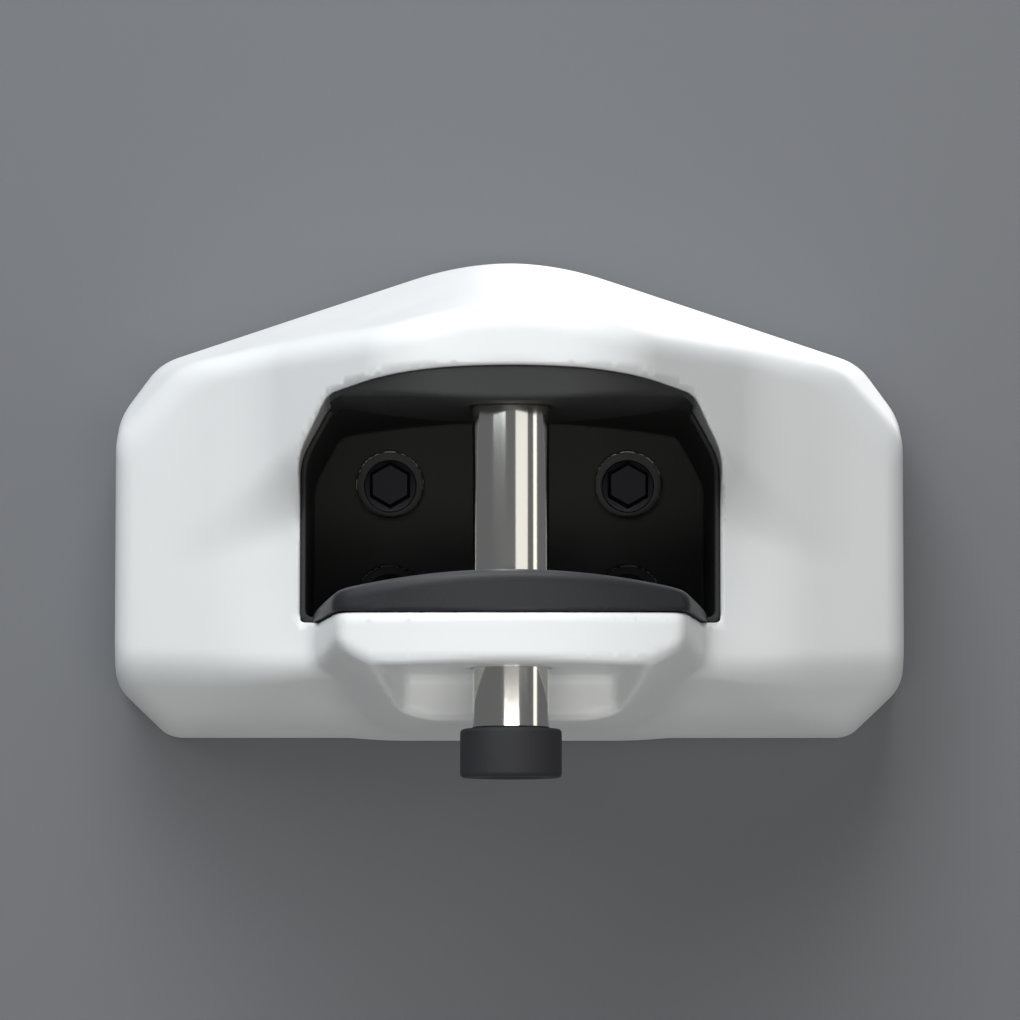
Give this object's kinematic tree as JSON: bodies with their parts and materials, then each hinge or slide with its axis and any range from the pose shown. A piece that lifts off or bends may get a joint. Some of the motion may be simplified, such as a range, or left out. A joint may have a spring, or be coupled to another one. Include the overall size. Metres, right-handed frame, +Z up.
{
  "type": "locking bicycle wall rack",
  "caption": "White wall hanger that holds a bicycle by its top tube on a rubber-topped lip under a hood, closed by a vertical polished steel locking pin with a black cap.",
  "frame": {"origin": "on the wall, in the middle of the back plate's back face and of the four wall bolts", "axes": "+X along the wall to the right as seen from the front, +Y into the wall, +Z up; the hood and lip stand out towards -Y"},
  "size_m": [0.326, 0.217, 0.2225],
  "materials": {
    "white_cover": "satin moulded white plastic, slightly cool",
    "black_moulding": "fine-textured black moulding",
    "black_rubber": "dull black rubber, paler on its worn ridge",
    "polished_steel": "polished, with faint lines along the pin",
    "black_cap": "satin black moulding",
    "black_steel": "black powder coat",
    "hardened_steel": "ground hardened steel",
    "black_zinc": "black zinc plate on the wall bolts and washers",
    "zinc_plated_steel": "bright zinc plate",
    "brass": "machined brass"
  },
  "bodies": {
    "wall_unit": {"back_plate": "black_steel", "upper_arm": "black_steel", "upper_web_left": "black_steel", "upper_web_right": "black_steel", "upper_socket": "hardened_steel", "socket_bush": "black_moulding", "lower_arm": "black_steel", "lower_web_left": "black_steel", "lower_web_right": "black_steel", "lower_collar": "hardened_steel", "collar_seal": "black_rubber", "cover_shell": "white_cover", "hood_liner": "black_moulding", "cavity_liner": "black_moulding", "cradle_pad": "black_rubber", "wall_bolt_1": "black_zinc", "wall_bolt_2": "black_zinc", "wall_bolt_3": "black_zinc", "wall_bolt_4": "black_zinc", "bolt_washer_1": "black_zinc", "bolt_washer_2": "black_zinc", "bolt_washer_3": "black_zinc", "bolt_washer_4": "black_zinc", "cover_screw_1": "zinc_plated_steel", "cover_screw_2": "zinc_plated_steel", "cover_screw_3": "zinc_plated_steel", "cover_screw_4": "zinc_plated_steel"},
    "locking_pin": {"pin_tube": "polished_steel", "pin_nose": "hardened_steel", "lock_cap": "black_cap", "lock_barrel": "zinc_plated_steel"},
    "lock_plug": {"key_plug": "brass", "cam_shaft": "hardened_steel", "plug_clip": "black_steel"},
    "ball_left": {"locking_ball_left": "hardened_steel"},
    "ball_right": {"locking_ball_right": "hardened_steel"}
  },
  "joints": [
    {"name": "pin_slide", "type": "slide", "parent": "wall_unit", "child": "locking_pin", "axis": [0, 0, -1], "range_m": [0, 0.13]},
    {"name": "key_turn", "type": "hinge", "parent": "locking_pin", "child": "lock_plug", "pos_m": [0, -0.185, -0.09], "axis": [0, 0, 1], "range_deg": [0, 90]},
    {"name": "ball_left_slide", "type": "slide", "parent": "locking_pin", "child": "ball_left", "axis": [-1, 0, 0], "range_m": [0, 0.0025]},
    {"name": "ball_right_slide", "type": "slide", "parent": "locking_pin", "child": "ball_right", "axis": [1, 0, 0], "range_m": [0, 0.0025]}
  ],
  "couplings": [
    {"joint": "ball_left_slide", "follows": "key_turn", "m_per_rad": 0.00159},
    {"joint": "ball_right_slide", "follows": "key_turn", "m_per_rad": 0.00159}
  ]
}
